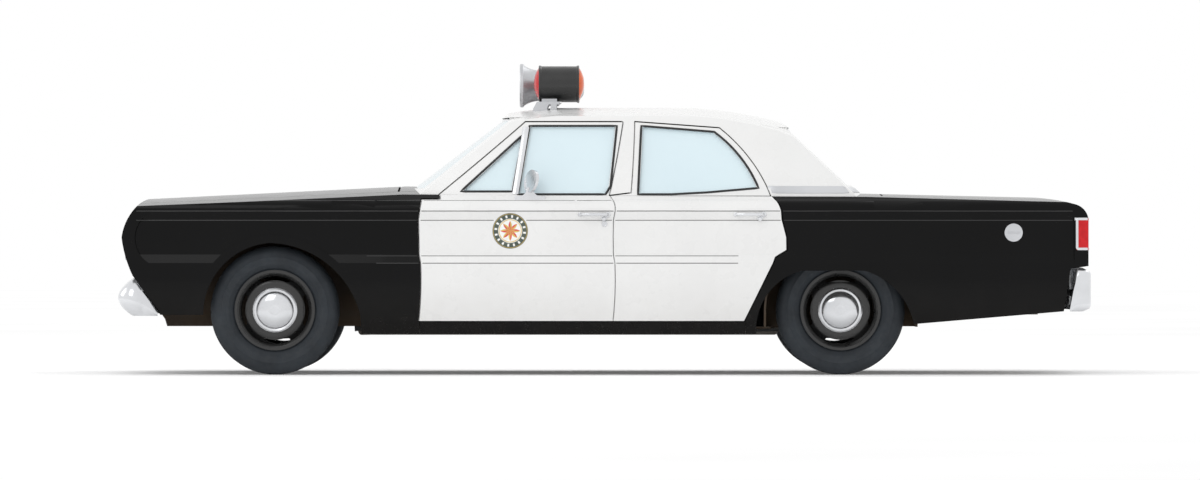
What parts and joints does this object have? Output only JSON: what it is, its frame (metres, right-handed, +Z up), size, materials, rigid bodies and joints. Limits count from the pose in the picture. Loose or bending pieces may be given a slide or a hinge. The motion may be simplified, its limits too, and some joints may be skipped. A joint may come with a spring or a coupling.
{
  "type": "police patrol car",
  "caption": "Four-door patrol saloon with hinged doors, bonnet and boot lid, steered front wheels, rolling wheels and a roof bar with lamps and a siren horn.",
  "frame": {"origin": "on the floor, midway between the bumpers and the sides", "axes": "+X towards the tail, +Y towards the passenger's side, +Z up"},
  "size_m": [5.109, 1.9406, 1.633],
  "materials": {
    "body_black": "gloss",
    "body_white": "gloss",
    "door_posts": "gloss",
    "underseal": "matte",
    "glass": "clear",
    "bright": "polished",
    "beacon_black": "gloss",
    "red_lens": "clear red",
    "amber_lens": "clear amber",
    "engine_iron": "painted",
    "exhaust_steel": "dull",
    "dash_plastic": "satin",
    "seat_vinyl": "vinyl",
    "tyre": "matte",
    "wheel_black": "gloss"
  },
  "bodies": {
    "root": {"front_panels": "body_black", "rear_panels": "body_black", "cowl": "body_black", "inner_wings": "body_black", "roof": "body_white", "side_frames": "door_posts", "underbody": "underseal", "toe_board": "underseal", "tunnel": "underseal", "boot_pan": "underseal", "wheelhouses": "underseal", "rear_bulkhead": "underseal", "windscreen": "glass", "rear_window": "glass", "headlamps": "glass", "front_bumper": "bright", "rear_bumper": "bright", "grille": "bright", "fuel_cap": "bright", "siren_horn": "bright", "beacon_bracket": "bright", "beacon_cans": "beacon_black", "red_lenses": "red_lens", "tail_lamps": "red_lens", "amber_lenses": "amber_lens", "engine": "engine_iron", "front_suspension": "engine_iron", "rear_axle": "engine_iron", "leaf_springs": "engine_iron", "propshaft": "engine_iron", "radiator": "engine_iron", "exhaust": "exhaust_steel", "fuel_tank": "exhaust_steel", "front_seat_base": "exhaust_steel", "dashboard": "dash_plastic", "front_seat": "seat_vinyl", "rear_seat": "seat_vinyl"},
    "hood": {"hood": "body_black"},
    "boot_lid": {"boot_lid": "body_black"},
    "front_left_door": {"front_left_door": "body_white", "front_left_glass": "glass", "door_mirror": "bright"},
    "front_right_door": {"front_right_door": "body_white", "front_right_glass": "glass"},
    "rear_left_door": {"rear_left_door": "body_white", "rear_left_glass": "glass"},
    "rear_right_door": {"rear_right_door": "body_white", "rear_right_glass": "glass"},
    "steering_wheel": {"steering_wheel": "dash_plastic"},
    "steering_link": {"steering_link": "engine_iron"},
    "left_knuckle": {"left_knuckle": "engine_iron"},
    "right_knuckle": {"right_knuckle": "engine_iron"},
    "wheel_front_left": {"front_left_tyre": "tyre", "front_left_wheel": "wheel_black"},
    "wheel_front_right": {"front_right_tyre": "tyre", "front_right_wheel": "wheel_black"},
    "wheel_rear_left": {"rear_left_tyre": "tyre", "rear_left_wheel": "wheel_black"},
    "wheel_rear_right": {"rear_right_tyre": "tyre", "rear_right_wheel": "wheel_black"}
  },
  "joints": [
    {"name": "hood_hinge", "type": "hinge", "parent": "root", "child": "hood", "pos_m": [-1.08, 0, 0.978], "axis": [0, 1, 0], "range_deg": [0, 50]},
    {"name": "boot_hinge", "type": "hinge", "parent": "root", "child": "boot_lid", "pos_m": [1.455, 0, 0.939], "axis": [0, -1, 0], "range_deg": [0, 75]},
    {"name": "front_left_door_hinge", "type": "hinge", "parent": "root", "child": "front_left_door", "pos_m": [-0.921, -0.942, 0.6], "axis": [0, 0, -1], "range_deg": [0, 65]},
    {"name": "front_right_door_hinge", "type": "hinge", "parent": "root", "child": "front_right_door", "pos_m": [-0.921, 0.942, 0.6], "axis": [0, 0, 1], "range_deg": [0, 65]},
    {"name": "rear_left_door_hinge", "type": "hinge", "parent": "root", "child": "rear_left_door", "pos_m": [0.09, -0.955, 0.6], "axis": [0, 0, -1], "range_deg": [0, 65]},
    {"name": "rear_right_door_hinge", "type": "hinge", "parent": "root", "child": "rear_right_door", "pos_m": [0.09, 0.955, 0.6], "axis": [0, 0, 1], "range_deg": [0, 65]},
    {"name": "steer_left", "type": "hinge", "parent": "root", "child": "left_knuckle", "pos_m": [-1.717, -0.7, 0.336], "axis": [0, 0, 1], "range_deg": [-32, 32]},
    {"name": "steer_right", "type": "hinge", "parent": "root", "child": "right_knuckle", "pos_m": [-1.717, 0.7, 0.336], "axis": [0, 0, 1], "range_deg": [-32, 32]},
    {"name": "steering_wheel_turn", "type": "hinge", "parent": "root", "child": "steering_wheel", "pos_m": [-0.56, -0.4, 0.8], "axis": [0.9063, 0, 0.4226], "range_deg": [-480, 480]},
    {"name": "steering_link_slide", "type": "slide", "parent": "root", "child": "steering_link", "axis": [0, 1, 0], "range_m": [-0.085, 0.085]},
    {"name": "front_left_roll", "type": "hinge", "parent": "left_knuckle", "child": "wheel_front_left", "pos_m": [-1.717, -0.7555, 0.336], "axis": [0, 1, 0], "continuous": true},
    {"name": "front_right_roll", "type": "hinge", "parent": "right_knuckle", "child": "wheel_front_right", "pos_m": [-1.717, 0.7555, 0.336], "axis": [0, 1, 0], "continuous": true},
    {"name": "rear_left_roll", "type": "hinge", "parent": "root", "child": "wheel_rear_left", "pos_m": [1.229, -0.743, 0.336], "axis": [0, 1, 0], "continuous": true},
    {"name": "rear_right_roll", "type": "hinge", "parent": "root", "child": "wheel_rear_right", "pos_m": [1.229, 0.743, 0.336], "axis": [0, 1, 0], "continuous": true}
  ],
  "couplings": [
    {"joint": "steer_right", "follows": "steer_left", "ratio": 1},
    {"joint": "steering_wheel_turn", "follows": "steer_left", "ratio": 15},
    {"joint": "steering_link_slide", "follows": "steer_left", "m_per_rad": 0.15}
  ]
}
